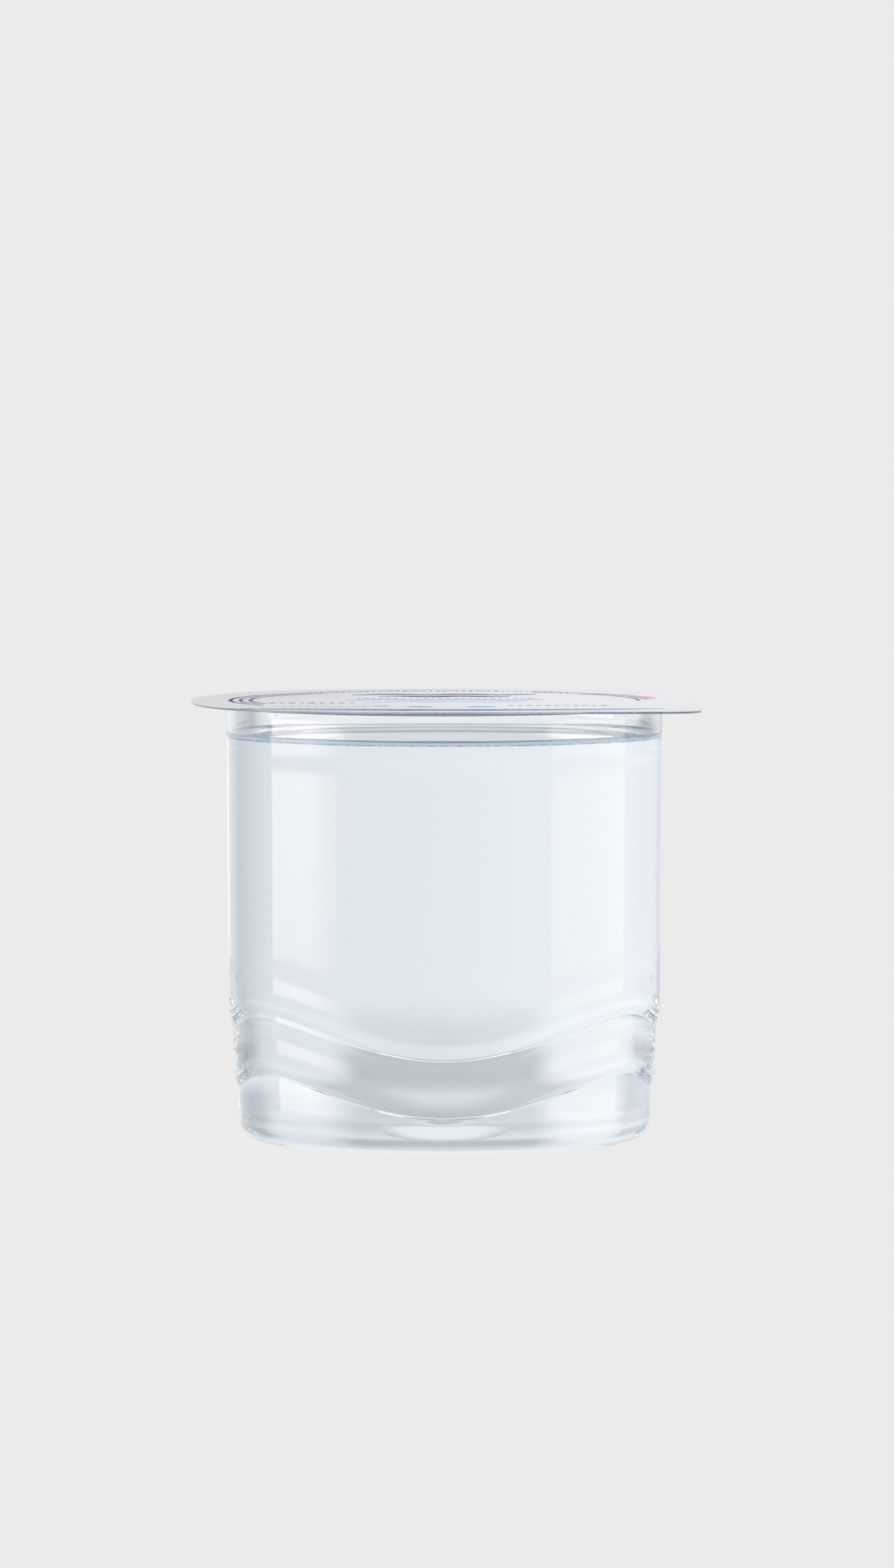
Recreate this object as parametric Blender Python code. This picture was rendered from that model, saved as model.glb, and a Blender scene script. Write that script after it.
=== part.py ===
"""Sealed single-serve water cup: a clear thin-walled cup, its water and its peel-off film lid.

Units are metres and +Z is up. The origin is the centre of the base, on the surface that the cup
stands on. The front, where both wave steps dip and the pull corner lies to the right, faces -Y.
"""
import math

import bmesh
import bpy
from mathutils import Vector

MM = 0.001

# How finely the round pieces are divided
SEGMENTS = 72
DOME_STEPS = 4
FOOT_STEPS = 3
CORNER_STEPS = 5
ROLL_STEPS = 5

# Cup: upright wall, in three bands that each sit a little inside the one above
WALL = 0.55 * MM
MOUTH_RADIUS = 33.0 * MM
UPPER_BAND_RADIUS = 32.7 * MM
MIDDLE_BAND_TOP_RADIUS = 32.08 * MM
MIDDLE_BAND_RADIUS = 31.92 * MM
LOWER_BAND_TOP_RADIUS = 31.32 * MM
LOWER_BAND_RADIUS = 31.2 * MM

# Wave steps between the bands: each dips at the front, the back and both sides, with its crests at
# the crest angle from the front and from the back
CREST_ANGLE = math.radians(60)
UPPER_STEP_HEIGHT = 17.6 * MM
LOWER_STEP_HEIGHT = 8.65 * MM
UPPER_WAVE = 3.0 * MM
LOWER_WAVE = 2.9 * MM
ROLL_HEIGHT = 3.9 * MM
FRONT = math.radians(-90)

# Base: foot ring with a rounded outer corner, round a raised floor with a low dome in its middle
CORNER_HEIGHT = 5.3 * MM
CORNER_POWER = 0.75
FOOT_OUTER_RADIUS = 24.6 * MM
FOOT_INNER_RADIUS = 22.8 * MM
FLOOR_RADIUS = 20.6 * MM
FLOOR_HEIGHT = 2.1 * MM
DOME_RADIUS = 9.2 * MM
DOME_HEIGHT = 2.0 * MM

# Rim: thin flange with the lid's own outline
FLANGE = 0.4 * MM
FLANGE_TOP = 66.7 * MM

# Outline of rim and lid: a rounded square with a pull corner at the front right
HALF_WIDTH = 38.4 * MM
SQUARENESS = 2.7 * MM
PULL_CORNER = Vector((33.4, -31.0)) * MM
PULL_CORNER_RADIUS = 5.2 * MM

# Lid film, and the gap that pieces which touch keep to each other
LID = 0.2 * MM
GAP = 0.3 * MM

# Water
WATER_LEVEL = 62.7 * MM

# Finishes: colour, roughness, metallic, transmission
FINISHES = {
    "clear_plastic": ((0.90, 0.94, 0.97), 0.06, 0.0, 0.9),
    "water": ((0.86, 0.92, 0.97), 0.02, 0.0, 1.0),
    "printed_film": ((0.76, 0.78, 0.80), 0.35, 0.0, 0.0),
}


def clear_scene():
    """Removes every object, so that the model starts from nothing."""
    for old in list(bpy.data.objects):
        bpy.data.objects.remove(old, do_unlink=True)


def finish(name):
    """Makes the Principled material that FINISHES names."""
    colour, roughness, metallic, transmission = FINISHES[name]
    material = bpy.data.materials.new(name)
    material.use_nodes = True
    shader = material.node_tree.nodes["Principled BSDF"]
    shader.inputs["Base Color"].default_value = (*colour, 1.0)
    shader.inputs["Roughness"].default_value = roughness
    shader.inputs["Metallic"].default_value = metallic
    shader.inputs["Transmission Weight"].default_value = transmission
    material.diffuse_color = (*colour, 1.0)
    return material


def turn(index):
    """Angle of one of the SEGMENTS upright lines round the cup."""
    return FRONT + math.tau * index / SEGMENTS


def wave_height(mean, amplitude, angle):
    """Height of a wave step's line at an angle: lowest at the front and the back."""
    from_axis = math.asin(min(1.0, abs(math.sin(angle - FRONT))))
    if from_axis <= CREST_ANGLE:
        return mean - amplitude * math.cos(math.pi * from_axis / CREST_ANGLE)
    past_crest = math.pi * (from_axis - CREST_ANGLE) / (math.pi / 2 - CREST_ANGLE)
    return mean + amplitude * (1 + math.cos(past_crest)) / 2


def floor_points(inset):
    """Radius and height pairs of the raised floor, from its middle down to the foot ring."""
    steps = [k / DOME_STEPS for k in range(DOME_STEPS + 1)]
    dome = [(DOME_RADIUS * s, inset + FLOOR_HEIGHT + DOME_HEIGHT * (1 - s * s)) for s in steps]
    reach = FOOT_INNER_RADIUS - FLOOR_RADIUS
    steps = [k / FOOT_STEPS for k in range(FOOT_STEPS + 1)]
    falls = [FLOOR_HEIGHT * (1 + math.cos(math.pi * s)) / 2 for s in steps]
    return dome + [(FLOOR_RADIUS + reach * s, inset + fall) for s, fall in zip(steps, falls)]


def corner_points(inset):
    """Radius and height pairs of the rounded corner, from the foot ring up to the lower band."""
    reach = LOWER_BAND_RADIUS - FOOT_OUTER_RADIUS - inset
    rise = CORNER_HEIGHT - inset
    points = []
    for k in range(CORNER_STEPS + 1):
        a = math.pi / 2 * k / CORNER_STEPS
        across = math.sin(a) ** CORNER_POWER
        down = math.cos(a) ** CORNER_POWER
        points.append((FOOT_OUTER_RADIUS + reach * across, CORNER_HEIGHT - rise * down))
    return points


def step_points(line, below, above, inset):
    """Radius and height pairs of a wave step: its sharp line, then the rounded edge of the band above."""
    steps = [k / ROLL_STEPS for k in range(ROLL_STEPS + 1)]
    return [(below + (above - below) * (1 - (1 - s) ** 3) - inset, line + ROLL_HEIGHT * s) for s in steps]


def profile(angle, inset, top):
    """The cup's outer profile at an angle, moved inwards by inset and ended at the height top.

    Args:
        angle: Where on the round, in radians from +X.
        inset: Distance inside the outer skin: 0 is the outer skin itself.
        top: Height of the last point.

    Returns:
        Radius and height pairs, from the axis outwards and up.
    """
    upper_line = wave_height(UPPER_STEP_HEIGHT, UPPER_WAVE, angle)
    lower_line = wave_height(LOWER_STEP_HEIGHT, LOWER_WAVE, angle)
    points = floor_points(inset) + corner_points(inset)
    points += step_points(lower_line, LOWER_BAND_TOP_RADIUS, MIDDLE_BAND_RADIUS, inset)
    points += step_points(upper_line, MIDDLE_BAND_TOP_RADIUS, UPPER_BAND_RADIUS, inset)
    draft = (MOUTH_RADIUS - UPPER_BAND_RADIUS) / (FLANGE_TOP - UPPER_STEP_HEIGHT)
    points.append((UPPER_BAND_RADIUS + draft * (top - UPPER_STEP_HEIGHT) - inset, top))
    return points


def turned_rings(inset, top):
    """Rings of points of the profile turned round the axis, the first of them the point on the axis."""
    profiles = [profile(turn(k), inset, top) for k in range(SEGMENTS)]
    rings = []
    for level in range(1, len(profiles[0])):
        rings.append([around(turn(k), *profiles[k][level]) for k in range(SEGMENTS)])
    return [[Vector((0, 0, profiles[0][0][1]))]] + rings


def around(angle, radius, height):
    """Point at a radius and height, at an angle round the axis."""
    return Vector((radius * math.cos(angle), radius * math.sin(angle), height))


def outline_point(angle):
    """Point of the lid's outline whose outward direction is the angle.

    The outline is the tight band round a rounded square and the circle of the pull corner, so at
    each direction it follows whichever of the two reaches further.
    """
    outward = Vector((math.cos(angle), math.sin(angle)))
    along = Vector((-math.sin(angle), math.cos(angle)))
    square_reach = HALF_WIDTH + SQUARENESS * math.sin(2 * angle) ** 2
    corner_reach = PULL_CORNER.dot(outward) + PULL_CORNER_RADIUS
    if corner_reach > square_reach:
        return PULL_CORNER + outward * PULL_CORNER_RADIUS
    return outward * square_reach + along * 2 * SQUARENESS * math.sin(4 * angle)


def outline_ring(height):
    """The lid's outline as a ring of points at a height."""
    return [outline_point(turn(k)).to_3d() + Vector((0, 0, height)) for k in range(SEGMENTS)]


def join_rings(bm, lower, upper):
    """Faces between two rings of vertices; a ring of one vertex makes a fan."""
    for k in range(SEGMENTS):
        after = (k + 1) % SEGMENTS
        if len(lower) == 1:
            bm.faces.new((lower[0], upper[after], upper[k]))
        elif len(upper) == 1:
            bm.faces.new((lower[k], lower[after], upper[0]))
        else:
            bm.faces.new((lower[k], lower[after], upper[after], upper[k]))


def lofted_mesh(name, rings):
    """Closed mesh through rings of points, from one point on the axis to the other."""
    bm = bmesh.new()
    vertices = [[bm.verts.new(point) for point in ring] for ring in rings]
    for lower, upper in zip(vertices, vertices[1:]):
        join_rings(bm, lower, upper)
    bmesh.ops.recalc_face_normals(bm, faces=bm.faces)
    mesh = bpy.data.meshes.new(name)
    bm.to_mesh(mesh)
    bm.free()
    return mesh


def lid_mesh(name):
    """Film with the rim's outline, its underside at height 0."""
    bm = bmesh.new()
    face = bm.faces.new([bm.verts.new(point) for point in outline_ring(0)])
    grown = bmesh.ops.extrude_face_region(bm, geom=[face])
    raised = [item for item in grown["geom"] if isinstance(item, bmesh.types.BMVert)]
    bmesh.ops.translate(bm, verts=raised, vec=(0, 0, LID))
    bmesh.ops.recalc_face_normals(bm, faces=bm.faces)
    mesh = bpy.data.meshes.new(name)
    bm.to_mesh(mesh)
    bm.free()
    return mesh


def place(mesh, material, frame, height=0.0):
    """Puts a mesh in the scene at a height, smooth shaded, under the frame empty."""
    mesh.shade_smooth()
    mesh.set_sharp_from_angle(angle=math.radians(30))
    mesh.materials.append(material)
    piece = bpy.data.objects.new(mesh.name, mesh)
    bpy.context.scene.collection.objects.link(piece)
    piece.parent = frame
    piece.location = (0, 0, height)
    return piece


def make_cup(frame):
    """Clear cup: outer skin, flange, then the inner skin back down to the axis."""
    flange_bottom = FLANGE_TOP - FLANGE
    outer = turned_rings(0, flange_bottom)
    inner = turned_rings(WALL, FLANGE_TOP)
    rim = [outline_ring(flange_bottom), outline_ring(FLANGE_TOP)]
    return place(lofted_mesh("cup", outer + rim + inner[::-1]), finish("clear_plastic"), frame)


def make_water(frame):
    """Water: fills the cup, a gap clear of its inner skin, up to a flat surface."""
    body = turned_rings(WALL + GAP, WATER_LEVEL)
    surface = [[Vector((0, 0, WATER_LEVEL))]]
    return place(lofted_mesh("water", body + surface), finish("water"), frame)


def make_lid(frame):
    """Film lid, placed a gap above the flange that it is sealed to."""
    return place(lid_mesh("lid"), finish("printed_film"), frame, FLANGE_TOP + GAP)


def main():
    """Builds the sealed cup under one empty at the centre of its base."""
    clear_scene()
    frame = bpy.data.objects.new("sealed_water_cup", None)
    bpy.context.scene.collection.objects.link(frame)
    make_cup(frame)
    make_water(frame)
    make_lid(frame)


main()
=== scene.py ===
"""Sealed water cup: fine surfaces, finishes, print, studio and camera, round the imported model.

Units are metres and +Z is up. The front of the cup faces -Y.
"""
import logging
import math
from dataclasses import dataclass, field
from enum import Enum

import bmesh
import bpy
from bpy.types import Material, Node, NodeSocket, NodeTree, Object, ShaderNode
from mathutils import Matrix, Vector


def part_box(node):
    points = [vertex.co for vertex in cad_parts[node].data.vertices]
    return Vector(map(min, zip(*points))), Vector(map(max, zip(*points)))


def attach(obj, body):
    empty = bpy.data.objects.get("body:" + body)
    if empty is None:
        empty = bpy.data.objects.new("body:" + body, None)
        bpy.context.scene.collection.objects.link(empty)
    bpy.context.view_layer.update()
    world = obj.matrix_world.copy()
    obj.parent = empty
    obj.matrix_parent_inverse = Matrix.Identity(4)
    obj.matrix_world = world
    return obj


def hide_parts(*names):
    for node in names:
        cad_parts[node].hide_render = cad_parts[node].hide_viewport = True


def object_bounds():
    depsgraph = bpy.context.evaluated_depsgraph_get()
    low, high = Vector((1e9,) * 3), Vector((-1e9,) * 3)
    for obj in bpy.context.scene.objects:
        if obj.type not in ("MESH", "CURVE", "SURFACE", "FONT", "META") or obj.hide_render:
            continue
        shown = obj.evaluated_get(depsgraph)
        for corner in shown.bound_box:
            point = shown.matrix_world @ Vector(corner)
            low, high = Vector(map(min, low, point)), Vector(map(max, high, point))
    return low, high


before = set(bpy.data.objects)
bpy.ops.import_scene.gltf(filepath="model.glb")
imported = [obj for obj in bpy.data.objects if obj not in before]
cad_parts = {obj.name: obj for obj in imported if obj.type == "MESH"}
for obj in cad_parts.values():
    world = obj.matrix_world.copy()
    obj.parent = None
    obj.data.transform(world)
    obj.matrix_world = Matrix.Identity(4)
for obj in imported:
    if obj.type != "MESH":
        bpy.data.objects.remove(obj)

MM = 0.001
CAD_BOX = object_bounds()
ROOT = "root"
log = logging.getLogger("water_cup")

# A place, or a colour as linear RGB
Triple = tuple[float, float, float]


class Slot(Enum):
    """Material slots of the record that the pieces take their finish from."""

    PLASTIC = "clear_plastic"
    WATER = "water"
    FILM = "printed_film"


class InkColour(Enum):
    """Colours of the lid's print, as linear RGB."""

    NAVY = (0.016, 0.022, 0.11)
    BLUE = (0.035, 0.16, 0.46)
    PALE_BLUE = (0.40, 0.50, 0.68)
    CYAN = (0.01, 0.34, 0.62)
    GREEN = (0.05, 0.38, 0.08)
    RED = (0.60, 0.03, 0.13)


@dataclass(frozen=True)
class ClearFinish:
    """A clear material: how strongly its surface bends light, and its tint."""

    name: str
    tint: Triple
    ior: float

    def material(self) -> Material:
        """Builds the material.

        Returns:
            A see-through Principled material.
        """
        made, shader = principled(self.name)
        shader.inputs["Base Color"].default_value = (*self.tint, 1.0)
        shader.inputs["Roughness"].default_value = 0.0
        shader.inputs["IOR"].default_value = self.ior
        shader.inputs["Transmission Weight"].default_value = 1.0
        return made


PLASTIC_IOR = 1.5
WATER_IOR = 1.333
UNBENT_IOR = 1.0

# Where water wets the plastic, light only meets the small difference between the two, and the
# water's own skin, which lies just inside the wall, bends none. The outer skin below the water line
# carries the tint of the water behind it, so that light caught inside by the wall doesn't darken.
DRY_PLASTIC = ClearFinish("clear_plastic", (0.975, 0.988, 0.998), PLASTIC_IOR)
FILLED_PLASTIC = ClearFinish("clear_plastic_filled", (0.886, 0.929, 0.962), PLASTIC_IOR)
WET_PLASTIC = ClearFinish("clear_plastic_wetted", (1.0, 1.0, 1.0), PLASTIC_IOR / WATER_IOR)
WATER_SURFACE = ClearFinish("water_surface", (0.99, 0.996, 1.0), WATER_IOR)
WATER_AT_WALL = ClearFinish("water_at_wall", (0.995, 0.998, 1.0), UNBENT_IOR)

# Painted shade: the strip of the water's skin that climbs the wall is tinted dark, so that it shows
# as a dark line round the cup
WATERLINE_PAINTED_SHADE = ClearFinish("waterline_painted_shade", (0.32, 0.42, 0.53), UNBENT_IOR)


@dataclass(frozen=True)
class LidFilm:
    """Satin white film with a fine grain."""

    colour: Triple = (0.72, 0.73, 0.75)
    cloud_scale: float = 60.0
    unevenness: float = 0.04
    grain_scale: float = 2600.0
    grain_strength: float = 0.04
    grain_height: float = 0.05 * MM
    roughness: float = 0.55
    shine: float = 0.06

    def material(self) -> Material:
        """Builds the material.

        Returns:
            A Principled material with clouds in its colour and a grain in its bump.
        """
        made, shader = principled("lid_film")
        tree = made.node_tree
        place = clouded(tree, shader, self.colour, self.cloud_scale, self.unevenness)
        grain = node(tree, "ShaderNodeTexNoise", {"Vector": place, "Scale": self.grain_scale})
        bump = node(tree, "ShaderNodeBump", {
            "Height": grain.outputs["Fac"], "Strength": self.grain_strength, "Distance": self.grain_height})
        tree.links.new(bump.outputs["Normal"], shader.inputs["Normal"])
        shader.inputs["Roughness"].default_value = self.roughness
        shader.inputs["Specular IOR Level"].default_value = self.shine
        return made


@dataclass(frozen=True)
class Ink:
    """Matt printing ink in one colour."""

    colour: InkColour
    cloud_scale: float = 900.0
    unevenness: float = 0.1
    roughness: float = 0.5
    shine: float = 0.06

    def material(self) -> Material:
        """Builds the material.

        Returns:
            A Principled material with faint clouds in its colour.
        """
        made, shader = principled(f"ink_{self.colour.name.lower()}")
        clouded(made.node_tree, shader, self.colour.value, self.cloud_scale, self.unevenness)
        shader.inputs["Roughness"].default_value = self.roughness
        shader.inputs["Specular IOR Level"].default_value = self.shine
        return made


def principled(name: str) -> tuple[Material, ShaderNode]:
    """Makes a node material.

    Args:
        name: The material's name.

    Returns:
        The material and its Principled node.
    """
    made = bpy.data.materials.new(name)
    made.use_nodes = True
    return made, made.node_tree.nodes["Principled BSDF"]


def node(tree: NodeTree, kind: str, inputs: dict | None = None, **settings: str) -> Node:
    """Adds a node and feeds its inputs.

    Args:
        tree: The node tree.
        kind: Blender's name for the kind of node.
        inputs: For each input, by name or number, the socket that feeds it or its value.
        settings: The node's own settings, which are made first.

    Returns:
        The node.
    """
    made = tree.nodes.new(kind)
    for name, value in settings.items():
        setattr(made, name, value)
    for key, value in (inputs or {}).items():
        if isinstance(value, NodeSocket):
            tree.links.new(value, made.inputs[key])
        else:
            made.inputs[key].default_value = value
    return made


def clouded(tree: NodeTree, shader: ShaderNode, colour: Triple, scale: float,
            unevenness: float) -> NodeSocket:
    """Gives a shader a colour that varies a little in soft clouds.

    Args:
        tree: The material's node tree.
        shader: Its Principled node.
        colour: The mean colour, as linear RGB.
        scale: How fine the clouds are.
        unevenness: Share of the colour by which they are lighter or darker.

    Returns:
        The Object coordinates, for a further pattern.
    """
    place = node(tree, "ShaderNodeTexCoord").outputs["Object"]
    clouds = node(tree, "ShaderNodeTexNoise", {"Vector": place, "Scale": scale})
    darker = (*(part * (1 - unevenness) for part in colour), 1.0)
    lighter = (*(part * (1 + unevenness) for part in colour), 1.0)
    shades = node(tree, "ShaderNodeMix", {"Factor": clouds.outputs["Fac"], "A": darker, "B": lighter},
                  data_type="RGBA")
    tree.links.new(shades.outputs["Result"], shader.inputs["Base Color"])
    return place


def around(angle: float, radius: float, height: float) -> Vector:
    """Point at a radius and height, at an angle round the axis.

    Args:
        angle: Angle from +X, in radians.
        radius: Distance from the axis.
        height: Height above the base.

    Returns:
        The point.
    """
    return Vector((radius * math.cos(angle), radius * math.sin(angle), height))


def smooth(share: float) -> float:
    """Eases a share from 0 to 1, flat at both ends."""
    share = max(0.0, min(1.0, share))
    return share * share * (3 - 2 * share)


def shares(count: int) -> list[float]:
    """Even steps from 0 to 1, with both ends."""
    return [k / count for k in range(count + 1)]


def spaced(start: float, end: float, count: int) -> list[float]:
    """Even steps from a start to an end, with both."""
    return [start + (end - start) * share for share in shares(count)]


def rounding(radius: float, count: int) -> list[tuple[float, float]]:
    """Points of a rounded corner between two sides.

    Args:
        radius: The corner's radius.
        count: How many steps it has.

    Returns:
        Distances of each point from the first side and from the second, starting on the first side.
    """
    turns = spaced(0.0, math.pi / 2, count)
    return [(radius * (1 - math.cos(turn)), radius * (1 - math.sin(turn))) for turn in turns]


def lofted_piece(name: str, rings: list[list[Vector]], finishes: list[Material],
                 bands: dict[int, range] | None = None) -> Object:
    """Makes a closed smooth piece through rings of points, from one point on the axis to the other.

    Args:
        name: The piece's name.
        rings: Rings of points. The first and the last hold one point each.
        finishes: The piece's materials.
        bands: For each further material, the numbers of the bands between rings that take it.

    Returns:
        The piece.
    """
    bm = bmesh.new()
    loops = [[bm.verts.new(point) for point in ring] for ring in rings]
    for band, (lower, upper) in enumerate(zip(loops, loops[1:])):
        count = max(len(lower), len(upper))
        index = next((number for number, span in (bands or {}).items() if band in span), 0)
        for k in range(count):
            after = (k + 1) % count
            if len(lower) == 1:
                face = bm.faces.new((lower[0], upper[after], upper[k]))
            elif len(upper) == 1:
                face = bm.faces.new((lower[k], lower[after], upper[0]))
            else:
                face = bm.faces.new((lower[k], lower[after], upper[after], upper[k]))
            face.material_index = index
    bmesh.ops.recalc_face_normals(bm, faces=bm.faces)
    return finished_piece(name, bm, finishes)


def finished_piece(name: str, bm: bmesh.types.BMesh, finishes: list[Material]) -> Object:
    """Turns a bmesh into a smooth shaded object at the origin.

    Args:
        name: The piece's name.
        bm: The shape, which is freed.
        finishes: The piece's materials.

    Returns:
        The piece.
    """
    mesh = bpy.data.meshes.new(name)
    bm.to_mesh(mesh)
    bm.free()
    mesh.shade_smooth()
    for finish in finishes:
        mesh.materials.append(finish)
    piece = bpy.data.objects.new(name, mesh)
    bpy.context.scene.collection.objects.link(piece)
    return piece


@dataclass(frozen=True)
class WaveStep:
    """A step in the wall that runs round the cup in waves, between two bands.

    Its line dips at the front, the back and both sides, in broad waves at the front and the back. The
    step is crisp round the front and fades to a soft swelling at the back. The rings' rises are in
    millimetres above the line, and they lie closest at its notch.
    """

    mean: float
    amplitude: float
    below: float
    above: float
    crest: float = math.radians(60)
    roll: float = 3.9 * MM
    shoulder: float = 0.55 * MM
    notch: float = 0.17 * MM
    fillet: float = 0.07 * MM
    crisp_to: float = math.radians(78)
    soft_from: float = math.radians(112)
    soft_start: float = -0.4 * MM
    soft_height: float = 6.4 * MM
    straight_from: float = 30.0
    ring_rises: tuple[float, ...] = (
        -0.4, -0.32, -0.25, -0.19, -0.14, -0.1, -0.06, -0.03, 0.0, 0.03, 0.06, 0.1, 0.15, 0.21, 0.3, 0.42,
        0.6, 0.8, 1.05, 1.3, 1.6, 1.95, 2.3, 2.7, 3.1, 3.5, 3.9, 4.4, 4.9, 5.4, 6.0)

    def line(self, angle: float) -> float:
        """Height of the step's line, lowest at the front and the back.

        Args:
            angle: Angle from +X, in radians.

        Returns:
            The height.
        """
        from_axis = math.asin(min(1.0, abs(math.cos(angle))))
        if from_axis <= self.crest:
            return self.mean - self.amplitude * math.cos(math.pi * from_axis / self.crest)
        past = math.pi * (from_axis - self.crest) / (math.pi / 2 - self.crest)
        return self.mean + self.amplitude * (1 + math.cos(past)) / 2

    def radius(self, rise: float, angle: float) -> float:
        """Radius at a height above the step's line.

        Args:
            rise: Height above the line, negative below it.
            angle: Angle from +X, in radians.

        Returns:
            The radius of the outer skin.
        """
        from_front = math.acos(max(-1.0, min(1.0, -math.sin(angle))))
        softness = smooth((from_front - self.crisp_to) / (self.soft_from - self.crisp_to))
        swelling = smooth((rise - self.soft_start) / self.soft_height)
        soft = self.below + (self.above - self.below) * swelling
        return self.crisp_radius(rise) * (1 - softness) + soft * softness

    def crisp_radius(self, rise: float) -> float:
        """Radius where the step is crisp.

        The band above rolls in to the line and the band below has a small shoulder up to it, with a
        little fillet where they meet.

        Args:
            rise: Height above the line, negative below it.

        Returns:
            The radius of the outer skin.
        """
        up, down = self.past(rise), self.past(-rise)
        bottom = self.below - self.notch
        rolled = (self.above - bottom) * (1 - (1 - min(1.0, up / self.roll)) ** 3)
        shouldered = self.notch * (1 - (1 - min(1.0, down / self.shoulder)) ** 2)
        return bottom + rolled + shouldered

    def past(self, distance: float) -> float:
        """How far past the line a height is, eased from zero over the fillet and then straight."""
        ratio = distance / self.fillet
        return self.fillet * (ratio if ratio > self.straight_from else math.log1p(math.exp(ratio)))

    def points(self, angle: float, inset: float) -> list[tuple[float, float]]:
        """Radius and height pairs across the step.

        Args:
            angle: Angle from +X, in radians.
            inset: Distance inside the outer skin.

        Returns:
            The pairs, from the bottom up.
        """
        line = self.line(angle)
        rises = [rise * MM for rise in self.ring_rises]
        return [(self.radius(rise, angle) - inset, line + rise) for rise in rises]


@dataclass
class CupForm:
    """The cup's fine profile, as functions of the angle round its axis.

    The ledge at the stacking line, where an empty cup would rest in the next, reaches the same
    distance above and below its line, and its rings are shares of that distance.
    """

    segments: int = 288
    wall: float = 0.55 * MM
    mouth_radius: float = 33.0 * MM
    upper_radius: float = 32.7 * MM
    lower_radius: float = 31.2 * MM
    corner_height: float = 5.3 * MM
    corner_power: float = 0.75
    foot_outer: float = 24.6 * MM
    foot_inner: float = 22.8 * MM
    floor_radius: float = 20.6 * MM
    floor_height: float = 2.1 * MM
    dome_radius: float = 9.2 * MM
    dome_height: float = 2.0 * MM
    dome_rings: int = 18
    floor_rings: int = 4
    foot_rings: int = 10
    corner_rings: int = 18
    middle_rings: int = 4
    upper_rings: int = 16
    mouth_rings: int = 5
    stacking_line: float = 58.9 * MM
    stacking_depth: float = 0.025 * MM
    stacking_reach: float = 0.13 * MM
    stacking_rings: tuple[float, ...] = (-0.6, -0.3, 0.0, 0.3, 0.6, 1.0)
    upper_step: WaveStep = WaveStep(17.6 * MM, 3.0 * MM, 32.08 * MM, 32.7 * MM)
    lower_step: WaveStep = WaveStep(8.65 * MM, 2.9 * MM, 31.32 * MM, 31.92 * MM)

    def turn(self, index: int) -> float:
        """Angle of one of the upright lines round the cup."""
        return -math.pi / 2 + math.tau * index / self.segments

    def circle(self, radius: float, height: float) -> list[Vector]:
        """A level circle of points round the axis."""
        return [around(self.turn(k), radius, height) for k in range(self.segments)]

    def base(self, inset: float) -> list[tuple[float, float]]:
        """Radius and height pairs of dome, floor, foot ring and rounded corner.

        Args:
            inset: Distance inside the outer skin.

        Returns:
            The pairs, from the axis outwards and up.
        """
        points = []
        floor = inset + self.floor_height
        for share in shares(self.dome_rings):
            points.append((self.dome_radius * share, floor + self.dome_height * (1 - share * share)))
        for radius in spaced(self.dome_radius, self.floor_radius, self.floor_rings)[1:-1]:
            points.append((radius, floor))
        for share in shares(self.foot_rings):
            radius = self.floor_radius + (self.foot_inner - self.floor_radius) * share
            points.append((radius, inset + self.floor_height * (1 + math.cos(math.pi * share)) / 2))
        reach = self.lower_radius - self.foot_outer - inset
        rise = self.corner_height - inset
        for turn in spaced(0.0, math.pi / 2, self.corner_rings):
            across = math.sin(turn) ** self.corner_power
            down = math.cos(turn) ** self.corner_power
            points.append((self.foot_outer + reach * across, self.corner_height - rise * down))
        return points

    def upper_wall(self, height: float) -> float:
        """Radius of the upper band's outer skin, with the ledge at the stacking line.

        Args:
            height: Height above the base.

        Returns:
            The radius.
        """
        start = self.upper_step.mean
        share = max(0.0, (height - start) / (CAD_BOX[1].z - start))
        past_line = (height - self.stacking_line) / (2 * self.stacking_reach) + 0.5
        ledge = self.stacking_depth * smooth(past_line)
        return self.upper_radius + (self.mouth_radius - self.upper_radius) * share + ledge

    def profile(self, angle: float, inset: float, top: float) -> list[tuple[float, float]]:
        """The profile at an angle, moved inwards and ended at a height.

        Args:
            angle: Angle from +X, in radians.
            inset: Distance inside the outer skin.
            top: Height of the last point.

        Returns:
            Radius and height pairs, from the axis outwards and up.
        """
        points = self.base(inset) + self.lower_step.points(angle, inset)
        upper = self.upper_step.points(angle, inset)
        between = [spaced(start, end, self.middle_rings) for start, end in zip(points[-1], upper[0])]
        points += list(zip(*between))[1:-1] + upper
        line, reach = self.stacking_line, self.stacking_reach
        heights = spaced(points[-1][1], line - reach, self.upper_rings)[1:]
        heights += [line + reach * share for share in self.stacking_rings]
        heights += spaced(line + reach, top, self.mouth_rings)[1:]
        return points + [(self.upper_wall(height) - inset, height) for height in heights]

    def skin(self, inset: float, top: float) -> list[list[Vector]]:
        """Rings of points of one skin, the first of them the point on the axis.

        Args:
            inset: Distance inside the outer skin.
            top: Height of the last ring.

        Returns:
            The rings, from the base's middle up.
        """
        angles = [self.turn(k) for k in range(self.segments)]
        profiles = [self.profile(angle, inset, top) for angle in angles]
        rings = [[Vector((0, 0, profiles[0][0][1]))]]
        for level in range(1, len(profiles[0])):
            rings.append([around(angle, *points[level]) for angle, points in zip(angles, profiles)])
        return rings


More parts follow.
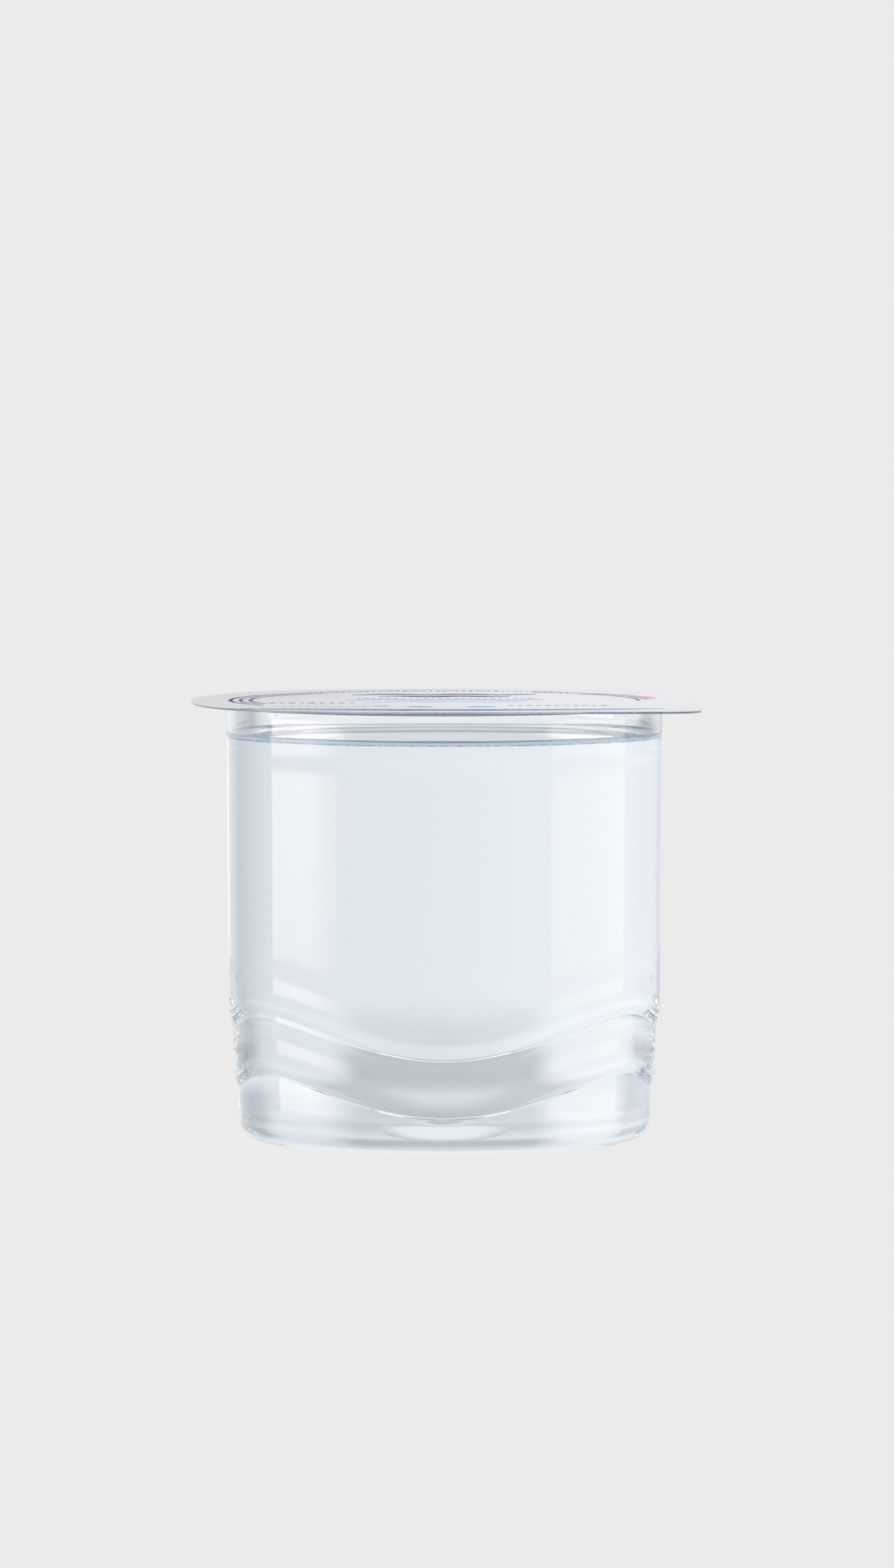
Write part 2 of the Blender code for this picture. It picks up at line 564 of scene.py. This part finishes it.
@dataclass
class RimOutline:
    """Outline that the flange and the lid share: a rounded square with a pull corner."""

    half_width: float = 38.4 * MM
    squareness: float = 2.7 * MM
    corner: Vector = field(default_factory=lambda: Vector((33.4, -31.0)) * MM)
    corner_radius: float = 5.2 * MM

    def point(self, angle: float, inset: float = 0.0) -> Vector:
        """Point of the outline whose outward direction is the angle.

        Args:
            angle: Outward direction, from +X in radians.
            inset: Distance inside the outline.

        Returns:
            The flat point.
        """
        outward = Vector((math.cos(angle), math.sin(angle)))
        along = Vector((-math.sin(angle), math.cos(angle)))
        square = self.half_width + self.squareness * math.sin(2 * angle) ** 2
        if self.corner.dot(outward) + self.corner_radius > square:
            return self.corner + outward * (self.corner_radius - inset)
        return outward * (square - inset) + along * 2 * self.squareness * math.sin(4 * angle)

    def ring(self, form: CupForm, height: float, inset: float = 0.0) -> list[Vector]:
        """The outline as a ring of points.

        Args:
            form: The cup's form, for the count of points.
            height: Height of the ring.
            inset: Distance inside the outline.

        Returns:
            The ring.
        """
        flat = [self.point(form.turn(k), inset) for k in range(form.segments)]
        return [Vector((point.x, point.y, height)) for point in flat]


@dataclass
class Cup:
    """The clear cup with its flange.

    The inner wall is wetted up to a height, and its dry rings start at least the least band above it.
    """

    form: CupForm
    outline: RimOutline
    top: float
    wetted_to: float
    flange: float = 0.28 * MM
    edge: float = 0.1 * MM
    edge_rings: int = 5
    fillet: float = 0.6 * MM
    fillet_rings: int = 6
    least_band: float = 0.02 * MM

    def build(self) -> Object:
        """Makes the cup and lets it stand for its solid.

        Returns:
            The cup.
        """
        rings = self.form.skin(0.0, self.top - self.flange - self.fillet)
        filled = sum(ring[0].z < self.wetted_to for ring in rings) - 1
        rings += self.root() + self.flange_edge() + self.lip()
        dry = self.form.skin(self.form.wall, self.top - self.fillet)
        dry = [ring for ring in dry if ring[0].z > self.wetted_to + self.least_band]
        wet = self.form.skin(self.form.wall, self.wetted_to)
        first_wet = len(rings) + len(dry)
        rings += dry[::-1] + wet[::-1]
        finishes = [DRY_PLASTIC.material(), WET_PLASTIC.material(), FILLED_PLASTIC.material()]
        bands = {1: range(first_wet, len(rings)), 2: range(filled)}
        cup = lofted_piece("cup_shell", rings, finishes, bands)
        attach(cup, ROOT)
        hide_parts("cup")
        return cup

    def root(self) -> list[list[Vector]]:
        """Makes the fillet between the wall and the flange's underside.

        Returns:
            Its rings, from the wall outwards.
        """
        under = self.top - self.flange
        wall = self.form.upper_wall(under)
        fillet = rounding(self.fillet, self.fillet_rings)[1:]
        return [self.form.circle(wall + out, under - down) for out, down in fillet]

    def flange_edge(self) -> list[list[Vector]]:
        """Makes the flange's rounded outer edge.

        Returns:
            Its rings, from the underside to the top.
        """
        under = self.top - self.flange
        corner = rounding(self.edge, self.edge_rings)
        lower = [self.outline.ring(self.form, under + up, inset) for up, inset in corner]
        upper = [self.outline.ring(self.form, self.top - down, inset) for inset, down in corner]
        return lower + upper

    def lip(self) -> list[list[Vector]]:
        """Makes the rounded inner lip.

        Returns:
            Its rings, from the flange's top down to the inner wall.
        """
        wall = self.form.upper_wall(self.top) - self.form.wall
        fillet = rounding(self.fillet, self.fillet_rings)[:0:-1]
        return [self.form.circle(wall + out, self.top - down) for out, down in fillet]


@dataclass
class Water:
    """The water, which reaches just into the wall and climbs it a little at its surface.

    The surface's rings are distances in from the wall, in millimetres.
    """

    form: CupForm
    level: float = 61.7 * MM
    climb: float = 0.9 * MM
    climb_reach: float = 1.6 * MM
    overlap: float = 0.08 * MM
    surface_rings: tuple[float, ...] = (0.1, 0.25, 0.45, 0.7, 1.0, 1.4, 1.9, 2.5, 3.3, 4.5, 6.5, 10.0, 20.0)

    @property
    def top(self) -> float:
        """Height that the water climbs to at the wall."""
        return self.level + self.climb

    def build(self) -> Object:
        """Makes the water and lets it stand for its solid.

        Returns:
            The water.
        """
        inset = self.form.wall - self.overlap
        rings = self.form.skin(inset, self.top)
        rings.insert(-1, self.form.circle(self.form.upper_wall(self.level) - inset, self.level))
        edge = self.form.upper_wall(self.top) - inset
        climbing = len(rings) - 2
        for distance in (ring * MM for ring in self.surface_rings):
            height = self.level + self.climb * math.exp(-distance / self.climb_reach)
            rings.append(self.form.circle(edge - distance, height))
        rings.append([Vector((0, 0, self.level))])
        # The climbing strip takes the painted shade of the dark water line
        finishes = [WATER_SURFACE.material(), WATER_AT_WALL.material(), WATERLINE_PAINTED_SHADE.material()]
        bands = {1: range(climbing), 2: range(climbing, climbing + 1)}
        water = lofted_piece("water_body", rings, finishes, bands)
        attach(water, ROOT)
        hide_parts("water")
        return water


@dataclass
class Lid:
    """The film lid, sealed to the flange, with the faint groove that the sealing leaves.

    The faces' rings are shares of the seal's radius, and the groove's rings are shares of its width
    from its middle.
    """

    form: CupForm
    outline: RimOutline
    top: float
    thickness: float = 0.13 * MM
    overlap: float = 0.02 * MM
    seal_radius: float = 34.2 * MM
    seal_width: float = 0.5 * MM
    seal_depth: float = 0.035 * MM
    face_rings: tuple[float, ...] = (0.35, 0.7)
    edge_rings: int = 8
    groove_rings: tuple[float, ...] = (1.6, 1.2, 0.9, 0.6, 0.3, 0.0, -0.3, -0.6, -0.9, -1.2)
    finish: LidFilm = LidFilm()

    @property
    def bottom(self) -> float:
        """Height of the film's underside."""
        return self.top - self.thickness

    def build(self) -> Object:
        """Makes the film and lets it stand for its solid.

        Returns:
            The film.
        """
        rings = [[Vector((0, 0, self.bottom))]]
        for share in (*self.face_rings, 1.0):
            rings.append(self.form.circle(share * self.seal_radius, self.bottom))
        half = self.thickness / 2
        for turn in spaced(0.0, math.pi, self.edge_rings):
            up, inset = half * (1 - math.cos(turn)), half * (1 - math.sin(turn))
            rings.append(self.outline.ring(self.form, self.bottom + up, inset))
        for share in self.groove_rings:
            dip = self.seal_depth * (1 + math.cos(math.pi * min(1.0, abs(share)))) / 2
            rings.append(self.form.circle(self.seal_radius + share * self.seal_width, self.top - dip))
        rings += [self.form.circle(share * self.seal_radius, self.top) for share in self.face_rings[::-1]]
        rings.append([Vector((0, 0, self.top))])
        lid = lofted_piece("lid_film", rings, [self.finish.material()])
        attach(lid, ROOT)
        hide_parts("lid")
        return lid


@dataclass(frozen=True)
class Dashes:
    """Printed dashes in a line, and how they follow it, in millimetres."""

    line: list[Vector]
    ink: InkColour
    pitch: float
    length: float
    width: float
    seed: int


@dataclass(frozen=True)
class Stroke:
    """A printed stroke along a line, widest in its middle where it tapers; its width is in millimetres."""

    line: list[Vector]
    width: float
    taper: float


@dataclass
class LidPrint:
    """The lid's plain print, in thin ink on the film: rings of dashes, waves, drops and a stripe.

    Places on the lid are in millimetres. The dashes on the stripe lie a little over it, along its line
    from the first point of their stretch to the last.
    """

    surface: float
    ink_depth: float = 0.03 * MM
    dash_lift: float = 0.012 * MM
    stretch: tuple[int, int] = (38, 96)
    arc_steps: int = 90
    wave_steps: int = 120
    drop_width: float = 0.62
    drop_taper: float = 0.5
    least_width: float = 0.03
    sharp_from: float = math.radians(40)
    least_dash: Triple = (0.45, 0.75, 1.0)
    greatest_dash: Triple = (1.15, 1.0, 1.0)

    def build(self) -> list[Object]:
        """Makes the print, one piece for each colour of strokes and each line of dashes.

        Returns:
            The pieces.
        """
        pieces = [self.strokes(f"print_{ink.name.lower()}", strokes, ink)
                  for ink, strokes in self.stroke_plan().items()]
        tree = self.dash_tree()
        pieces += [self.dashes(f"print_{name}", row, tree) for name, row in self.dash_plan().items()]
        for piece in pieces:
            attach(piece, ROOT)
        return pieces

    def arc(self, radius: float, start: float, end: float) -> list[Vector]:
        """Points of an arc round the middle of the lid.

        Args:
            radius: The arc's radius in millimetres.
            start: Its first angle in degrees from +X.
            end: Its last angle in degrees.

        Returns:
            The points.
        """
        turns = [math.radians(degrees) for degrees in spaced(start, end, self.arc_steps)]
        return [around(turn, radius * MM, self.surface) for turn in turns]

    def wave(self, left: float, right: float, back: float, height: float = 0.0, period: float = 10.0,
             bow: float = 0.0) -> list[Vector]:
        """Points of a line across the lid, in millimetres: straight, wavy or bowed.

        Args:
            left: X of its first point.
            right: X of its last point.
            back: Y of its middle line.
            height: How far it swings to each side.
            period: Length of one wave.
            bow: How much further forward its middle lies than its ends.

        Returns:
            The points.
        """
        points = []
        for share in shares(self.wave_steps):
            x = left + (right - left) * share
            from_middle = 2 * share - 1
            y = back + height * math.sin(math.tau * x / period) - bow * (1 - from_middle * from_middle)
            points.append(Vector((x * MM, y * MM, self.surface)))
        return points

    def stripe(self, lift: float = 0.0) -> list[Vector]:
        """Middle line of the stripe along the front edge, raised by the lift."""
        return [point + Vector((0, 0, lift)) for point in self.wave(-33.0, 33.0, -27.5, bow=4.6)]

    def drop(self, x: float, y: float, size: float) -> Stroke:
        """A filled drop, lying across the lid.

        Args:
            x: Place of its middle, in millimetres.
            y: Place of its middle, in millimetres.
            size: Its length in millimetres.

        Returns:
            The stroke that fills it.
        """
        return Stroke(self.wave(x - size / 2, x + size / 2, y), size * self.drop_width, self.drop_taper)

    def stroke_plan(self) -> dict[InkColour, list[Stroke]]:
        """Lays out what is printed in whole strokes.

        Returns:
            The strokes, by colour.
        """
        wave = self.wave
        return {
            InkColour.BLUE: [Stroke(self.stripe(), 3.4, 0.6)],
            InkColour.NAVY: [
                Stroke(wave(-14.0, 14.0, 19.0, 1.0, 11.0), 2.6, 0.3),
                Stroke(wave(-10.0, 10.0, 12.5, 1.0, 10.0), 3.0, 0.5),
            ],
            InkColour.PALE_BLUE: [
                Stroke(wave(-15.0, 15.0, 1.5, 1.1, 12.0), 3.4, 0.2),
                Stroke(wave(-12.0, 12.0, -5.0, 0.9, 9.0), 2.2, 0.4),
            ],
            InkColour.CYAN: [self.drop(5.5, -21.5, 4.6), self.drop(-9.5, -19.5, 2.6)],
            InkColour.GREEN: [self.drop(-3.6, -22.0, 4.0)],
        }

    def dash_plan(self) -> dict[str, Dashes]:
        """Lays out what is printed as lines of dashes.

        Returns:
            The lines, by name.
        """
        arc, row, navy = self.arc, self.wave, InkColour.NAVY
        first, last = self.stretch
        on_stripe = self.stripe(self.dash_lift)[first:last + 1]
        return {
            "ring_outer": Dashes(arc(32.4, 76, 212), navy, 1.25, 0.95, 0.75, seed=3),
            "ring_red": Dashes(arc(32.4, 12, 64), InkColour.RED, 1.25, 0.95, 0.9, seed=4),
            "ring_middle": Dashes(arc(30.9, 6, 206), navy, 1.0, 0.6, 0.65, seed=5),
            "ring_inner": Dashes(arc(29.4, 0, 62), navy, 1.5, 1.2, 0.7, seed=6),
            "ring_inner_left": Dashes(arc(29.4, 130, 202), navy, 1.5, 1.2, 0.7, seed=7),
            "row_back": Dashes(row(-13, 13, 6.4), navy, 1.1, 0.7, 0.8, seed=8),
            "row_left": Dashes(row(-26, -14, -9.5), navy, 1.4, 1.0, 1.4, seed=9),
            "row_right": Dashes(row(10, 24, -17.5), navy, 1.3, 0.9, 1.2, seed=10),
            "row_green": Dashes(row(-24, -12, -22.5), InkColour.GREEN, 1.1, 0.5, 1.0, seed=11),
            "row_stripe": Dashes(on_stripe, navy, 2.1, 1.5, 1.3, seed=12),
        }

    def strokes(self, name: str, strokes: list[Stroke], ink: InkColour) -> Object:
        """Makes one colour's strokes as thin closed bars on the film.

        Args:
            name: The piece's name.
            strokes: The strokes.
            ink: Their colour.

        Returns:
            The piece.
        """
        bm = bmesh.new()
        up = Vector((0, 0, self.ink_depth / 2))
        for stroke in strokes:
            last = len(stroke.line) - 1
            sections = []
            for k, point in enumerate(stroke.line):
                along = (stroke.line[min(last, k + 1)] - stroke.line[max(0, k - 1)]).normalized()
                side = Vector((-along.y, along.x, 0))
                from_middle = 2 * k / last - 1
                narrowing = max(self.least_width, 1 - from_middle * from_middle) ** stroke.taper
                half = stroke.width * MM / 2 * narrowing
                edges = (point - side * half, point + side * half)
                sections.append([bm.verts.new(edge + lift) for lift in (-up, up) for edge in edges])
            for before, after in zip(sections, sections[1:]):
                for i, j in ((0, 1), (1, 3), (3, 2), (2, 0)):
                    bm.faces.new((before[i], before[j], after[j], after[i]))
            bm.faces.new([sections[0][i] for i in (0, 2, 3, 1)])
            bm.faces.new([sections[-1][i] for i in (0, 1, 3, 2)])
        bmesh.ops.recalc_face_normals(bm, faces=bm.faces)
        piece = finished_piece(name, bm, [Ink(ink).material()])
        piece.data.set_sharp_from_angle(angle=self.sharp_from)
        return piece

    def dash_tree(self) -> NodeTree:
        """Geometry Nodes tree that sets dashes of uneven length along a line.

        Returns:
            The tree, with inputs for the pitch, the dash's size, the seed and the ink.
        """
        tree = bpy.data.node_groups.new("dashes_along_line", "GeometryNodeTree")
        sockets = tree.interface
        sockets.new_socket("Geometry", in_out="OUTPUT", socket_type="NodeSocketGeometry")
        sockets.new_socket("Geometry", in_out="INPUT", socket_type="NodeSocketGeometry")
        for name in ("Pitch", "Length", "Width", "Depth"):
            sockets.new_socket(name, in_out="INPUT", socket_type="NodeSocketFloat")
        sockets.new_socket("Seed", in_out="INPUT", socket_type="NodeSocketInt")
        sockets.new_socket("Ink", in_out="INPUT", socket_type="NodeSocketMaterial")
        given = node(tree, "NodeGroupInput").outputs
        curve = node(tree, "GeometryNodeMeshToCurve", {0: given["Geometry"]})
        points = node(tree, "GeometryNodeCurveToPoints",
                      {"Curve": curve.outputs[0], "Length": given["Pitch"]}, mode="LENGTH")
        turned = node(tree, "FunctionNodeAlignRotationToVector", {"Vector": points.outputs["Tangent"]},
                      axis="X", pivot_axis="Z")
        size = node(tree, "ShaderNodeCombineXYZ",
                    {"X": given["Length"], "Y": given["Width"], "Z": given["Depth"]})
        dash = node(tree, "GeometryNodeMeshCube", {"Size": size.outputs[0]})
        uneven = node(tree, "FunctionNodeRandomValue",
                      {0: self.least_dash, 1: self.greatest_dash, "Seed": given["Seed"]},
                      data_type="FLOAT_VECTOR")
        placed = node(tree, "GeometryNodeInstanceOnPoints", {
            "Points": points.outputs["Points"], "Instance": dash.outputs["Mesh"],
            "Rotation": turned.outputs["Rotation"], "Scale": uneven.outputs[0]})
        real = node(tree, "GeometryNodeRealizeInstances", {"Geometry": placed.outputs["Instances"]})
        inked = node(tree, "GeometryNodeSetMaterial",
                     {"Geometry": real.outputs["Geometry"], "Material": given["Ink"]})
        node(tree, "NodeGroupOutput", {"Geometry": inked.outputs["Geometry"]})
        return tree

    def dashes(self, name: str, row: Dashes, tree: NodeTree) -> Object:
        """Makes one line of dashes as a plain mesh.

        Args:
            name: The piece's name.
            row: The line and its dashes.
            tree: The tree that sets them.

        Returns:
            The piece.
        """
        line = bpy.data.meshes.new(name + "_line")
        line.from_pydata(row.line, [(k, k + 1) for k in range(len(row.line) - 1)], [])
        piece = bpy.data.objects.new(name, line)
        bpy.context.scene.collection.objects.link(piece)
        modifier = piece.modifiers.new("dashes", "NODES")
        modifier.node_group = tree
        values = {"Pitch": row.pitch * MM, "Length": row.length * MM, "Width": row.width * MM,
                  "Depth": self.ink_depth, "Seed": row.seed, "Ink": Ink(row.ink).material()}
        for socket in tree.interface.items_tree:
            if socket.in_out == "INPUT" and socket.name in values:
                modifier[socket.identifier] = values[socket.name]
        ready = piece.evaluated_get(bpy.context.evaluated_depsgraph_get())
        mesh = bpy.data.meshes.new_from_object(ready)
        piece.modifiers.remove(modifier)
        piece.data = mesh
        return piece


def ramp(tree: NodeTree, value: NodeSocket, low: float, high: float,
         stops: list[tuple[float, list[float]]]) -> NodeSocket:
    """Adds a colour ramp over a range of a value.

    Args:
        tree: The node tree.
        value: The socket that gives the value.
        low: The value at the ramp's start.
        high: The value at its end.
        stops: Value and colour of each stop, in order.

    Returns:
        The ramp's colour.
    """
    share = node(tree, "ShaderNodeMapRange", {"Value": value, "From Min": low, "From Max": high})
    colours = node(tree, "ShaderNodeValToRGB", {"Fac": share.outputs["Result"]})
    elements = colours.color_ramp.elements
    elements.remove(elements[-1])
    for number, (at, colour) in enumerate(stops):
        place = (at - low) / (high - low)
        element = elements[0] if number == 0 else elements.new(place)
        element.position = place
        element.color = (*colour, 1.0)
    return colours.outputs["Color"]


@dataclass
class Surroundings:
    """The studio as the cup sees it: soft light from all round.

    The stops give the light by azimuth, in degrees to the right of straight behind the cup. The bands
    dim it by height, from -1 straight down to 1 straight up, and far up and far down it fades to a
    plain light. The surroundings reach down past the floor, which only the camera sees, because the
    cup's upright walls mirror what lies a little below them.
    """

    brightest: float = 5.0
    overhead: Triple = (0.90, 0.90, 0.92)
    underneath: Triple = (0.89, 0.90, 0.91)
    plain_above: tuple[float, float] = (0.3, 0.5)
    plain_below: tuple[float, float] = (-0.055, -0.09)
    bands: tuple[tuple[float, float], ...] = (
        (-1.0, 0.95), (-0.94, 0.25), (-0.8, 0.25), (-0.74, 1.0), (0.0, 1.0), (0.03, 1.06), (0.07, 1.06),
        (0.1, 1.0), (0.3, 0.95), (1.0, 0.9))
    stops: tuple[tuple[float, Triple], ...] = (
        (-180, (0.7, 0.72, 0.74)), (-132, (0.7, 0.72, 0.74)), (-126, (1.2, 1.05, 0.95)),
        (-103, (4.0, 3.5, 3.2)), (-84, (3.2, 2.8, 2.6)), (-76, (3.0, 2.7, 2.5)),
        (-75, (0.6, 0.62, 0.65)), (-66, (0.7, 0.72, 0.75)), (-60, (0.9, 0.92, 0.94)),
        (-52, (1.0, 1.0, 1.0)), (-30, (0.97, 0.97, 0.97)), (0, (0.86, 0.87, 0.88)),
        (33, (0.8, 0.81, 0.83)), (43, (0.62, 0.64, 0.67)), (50, (0.5, 0.53, 0.57)),
        (60, (0.6, 0.62, 0.65)), (68, (0.7, 0.72, 0.74)), (69, (1.7, 1.5, 1.35)),
        (120, (1.7, 1.5, 1.35)), (122, (0.7, 0.72, 0.74)), (180, (0.7, 0.72, 0.74)))

    def build(self) -> None:
        """Makes the world that holds the light."""
        world = bpy.data.worlds.new("studio")
        world.use_nodes = True
        tree = world.node_tree
        background = tree.nodes["Background"]
        way = node(tree, "ShaderNodeTexCoord").outputs["Generated"]
        parts = node(tree, "ShaderNodeSeparateXYZ", {0: way})
        azimuth = node(tree, "ShaderNodeMath", {0: parts.outputs["X"], 1: parts.outputs["Y"]},
                       operation="ARCTAN2")
        rise = parts.outputs["Z"]
        round_us = ramp(tree, azimuth.outputs[0], -math.pi, math.pi, [
            (math.radians(degrees), [part / self.brightest for part in light])
            for degrees, light in self.stops])
        evened = self.plain_beyond(tree, round_us, rise, self.plain_below, self.underneath)
        by_height = ramp(tree, rise, -1.0, 1.0, [(height, [level] * 3) for height, level in self.bands])
        dimmed = node(tree, "ShaderNodeMix", {"Factor": 1.0, "A": evened, "B": by_height},
                      data_type="RGBA", blend_type="MULTIPLY")
        whole = self.plain_beyond(tree, dimmed.outputs["Result"], rise, self.plain_above, self.overhead)
        tree.links.new(whole, background.inputs["Color"])
        background.inputs["Strength"].default_value = self.brightest
        bpy.context.scene.world = world

    def plain_beyond(self, tree: NodeTree, light: NodeSocket, rise: NodeSocket,
                     span: tuple[float, float], plain: Triple) -> NodeSocket:
        """Fades the light to a plain one over a span of heights.

        Args:
            tree: The node tree.
            light: The socket that gives the light.
            rise: The socket that gives the height that a ray looks at.
            span: The heights where the fade starts and ends.
            plain: The plain light past its end.

        Returns:
            The faded light.
        """
        share = node(tree, "ShaderNodeMapRange", {"Value": rise, "From Min": span[0], "From Max": span[1]},
                     interpolation_type="SMOOTHSTEP")
        plain_light = (*(part / self.brightest for part in plain), 1.0)
        faded = node(tree, "ShaderNodeMix",
                     {"Factor": share.outputs["Result"], "A": light, "B": plain_light}, data_type="RGBA")
        return faded.outputs["Result"]


@dataclass
class PaintedShadeCard:
    """Clear card close behind the cup, which shows only through the cup and paints shade there.

    It has a narrow soft grey foot in its middle, a painted shadow that stands in for the cup's own
    shadow on the floor behind it, and soft grey flags at its sides, painted shade that the headspace
    shows. The shades are the foot's grey by height, the flags are the grey by place across, and each
    tint is how much more green and blue than red the card lets through.
    """

    back: float = 0.036
    half_width: float = 0.12
    bottom: float = -0.03
    top: float = 0.08
    painted_shadow_top: float = 0.03
    painted_shadow_grey_to: float = 0.0052
    painted_shadow_clear_from: float = 0.0070
    painted_shadow_tint: Triple = (0.0, 0.012, 0.025)
    shade_flag_tint: Triple = (0.0, 0.006, 0.012)
    shades: tuple[tuple[float, float], ...] = (
        (0.0, 0.72), (0.0009, 0.72), (0.0042, 0.78), (0.0059, 0.9), (0.0076, 0.7), (0.0092, 0.64),
        (0.0126, 0.67), (0.0142, 0.82), (0.0176, 0.91), (0.0209, 0.99), (0.0225, 1.0))
    flags: tuple[tuple[float, float], ...] = (
        (-0.0385, 0.9), (-0.0345, 0.45), (-0.031, 0.45), (-0.0295, 0.8), (-0.028, 1.0), (0.0285, 1.0),
        (0.031, 0.9), (0.0325, 0.4), (0.040, 0.4), (0.046, 0.95))

    def build(self) -> None:
        """Makes the painted shade card, which no camera ray and no light of its own meets."""
        bm = bmesh.new()
        left, right = -self.half_width, self.half_width
        corners = ((left, self.bottom), (right, self.bottom), (right, self.top), (left, self.top))
        bm.faces.new([bm.verts.new((x, self.back, z)) for x, z in corners])
        card = finished_piece("painted_shade_card", bm, [self.material()])
        card.visible_camera = card.visible_glossy = card.visible_diffuse = False
        card.visible_shadow = False

    def material(self) -> Material:
        """Builds the card's clear material.

        Returns:
            A Transparent material, grey with painted shadow where the foot is and with painted shade where
            the flags are.
        """
        made, shader = principled("painted_shade_card")
        tree = made.node_tree
        tree.nodes.remove(shader)
        place = node(tree, "ShaderNodeTexCoord").outputs["Object"]
        parts = node(tree, "ShaderNodeSeparateXYZ", {0: place})
        # The foot's grey by height is the painted shadow of the cup on the floor behind it
        foot = ramp(tree, parts.outputs["Z"], 0.0, self.painted_shadow_top, [
            (height, [level + more for more in self.painted_shadow_tint]) for height, level in self.shades])
        # The flags' grey by place across is painted shade at the sides of the headspace
        flags = ramp(tree, parts.outputs["X"], -self.half_width, self.half_width, [
            (across, [level + more for more in self.shade_flag_tint]) for across, level in self.flags])
        across = node(tree, "ShaderNodeMath", {0: parts.outputs["X"]}, operation="ABSOLUTE")
        sides = node(tree, "ShaderNodeMapRange", {
            "Value": across.outputs[0], "From Min": self.painted_shadow_grey_to, "From Max": self.painted_shadow_clear_from},
            interpolation_type="SMOOTHSTEP")
        whole = node(tree, "ShaderNodeMix", {"Factor": sides.outputs["Result"], "A": foot, "B": flags},
                     data_type="RGBA")
        clear = node(tree, "ShaderNodeBsdfTransparent", {"Color": whole.outputs["Result"]})
        tree.links.new(clear.outputs[0], tree.nodes["Material Output"].inputs["Surface"])
        return made


@dataclass
class Studio:
    """Pale floor, a softbox for the fine highlights, a soft pool on the lid's right, and the camera."""

    paper: float = 0.8308
    floor_radius: float = 30.0
    floor_sides: int = 96
    bounces: int = 1024
    softbox_size: tuple[float, float] = (1.1, 0.35)
    softbox_power: float = 14.0
    softbox_place: Triple = (0.0, -0.85, 0.75)
    softbox_aim: Triple = (0.0, 0.0, 0.05)
    pool_angle: float = math.radians(7.0)
    pool_blend: float = 0.7
    pool_lamp: float = 0.01
    pool_power: float = 6.0
    pool_place: Triple = (0.25, 0.1, 0.9)
    pool_aim: Triple = (0.032, 0.0, 0.067)
    distance: float = 3.0
    elevation: float = math.radians(2.85)
    target: Vector = field(default_factory=lambda: Vector((0.4, 0.0, 54.5)) * MM)
    lens: float = 454.7
    sensor: float = 36.0
    sight: float = 60.0

    def build(self) -> None:
        """Makes everything of the studio."""
        bpy.context.scene.view_settings.view_transform = "Standard"
        cycles = bpy.context.scene.cycles
        cycles.max_bounces = cycles.transmission_bounces = cycles.glossy_bounces = self.bounces
        Surroundings().build()
        self.floor()
        # Card of painted shadow and shade, seen only through the cup
        PaintedShadeCard().build()
        self.softbox()
        self.pool()
        self.camera()

    def floor(self) -> None:
        """Pale floor, as bright as the paper behind it."""
        bm = bmesh.new()
        bmesh.ops.create_circle(bm, cap_ends=True, segments=self.floor_sides, radius=self.floor_radius)
        made, shader = principled("pale_floor")
        shader.inputs["Base Color"].default_value = (0.0, 0.0, 0.0, 1.0)
        shader.inputs["Specular IOR Level"].default_value = 0.0
        shader.inputs["Emission Color"].default_value = (*[self.paper] * 3, 1.0)
        shader.inputs["Emission Strength"].default_value = 1.0
        floor = finished_piece("floor", bm, [made])
        floor.visible_glossy = floor.visible_transmission = False

    def lamp(self, name: str, kind: str, power: float, place: Triple, aim: Triple) -> Object:
        """Places a lamp.

        Args:
            name: Its name.
            kind: Blender's kind of light.
            power: Its power in watts.
            place: Where it is.
            aim: The point that it faces.

        Returns:
            The lamp.
        """
        data = bpy.data.lights.new(name, kind)
        data.energy = power
        lamp = bpy.data.objects.new(name, data)
        lamp.location = place
        lamp.rotation_euler = (Vector(aim) - Vector(place)).to_track_quat("-Z", "Y").to_euler()
        bpy.context.scene.collection.objects.link(lamp)
        return lamp

    def softbox(self) -> None:
        """A softbox over the camera, which only shows as a highlight."""
        box = self.lamp("front_softbox", "AREA", self.softbox_power, self.softbox_place, self.softbox_aim)
        box.data.shape = "RECTANGLE"
        box.data.size, box.data.size_y = self.softbox_size
        box.visible_diffuse = box.visible_transmission = False

    def pool(self) -> None:
        """A soft pool of light on the lid's right, without a highlight."""
        pool = self.lamp("lid_pool", "SPOT", self.pool_power, self.pool_place, self.pool_aim)
        pool.data.spot_size = self.pool_angle
        pool.data.spot_blend = self.pool_blend
        pool.data.shadow_soft_size = self.pool_lamp
        pool.visible_glossy = pool.visible_transmission = False

    def camera(self) -> None:
        """The camera, far off and a little above the cup."""
        data = bpy.data.cameras.new("camera")
        data.lens = self.lens
        data.sensor_width = self.sensor
        data.clip_end = self.sight
        camera = bpy.data.objects.new("camera", data)
        bpy.context.scene.collection.objects.link(camera)
        back = Vector((0, -math.cos(self.elevation), math.sin(self.elevation)))
        camera.location = self.target + back * self.distance
        camera.rotation_euler = (-back).to_track_quat("-Z", "Y").to_euler()
        bpy.context.scene.camera = camera


def main() -> None:
    """Builds the cup, its water, its lid, the print and the studio, in that order."""
    logging.basicConfig(level=logging.INFO, format="%(name)s: %(message)s")
    form = CupForm()
    outline = RimOutline()
    lid = Lid(form, outline, top=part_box("lid")[1].z)
    water = Water(form)
    cup = Cup(form, outline, top=lid.bottom + lid.overlap, wetted_to=water.top)
    for piece in (cup.build(), water.build(), lid.build(), *LidPrint(lid.top).build()):
        log.info("%s: %d faces", piece.name, len(piece.data.polygons))
    Studio().build()


if __name__ == "__main__":
    main()
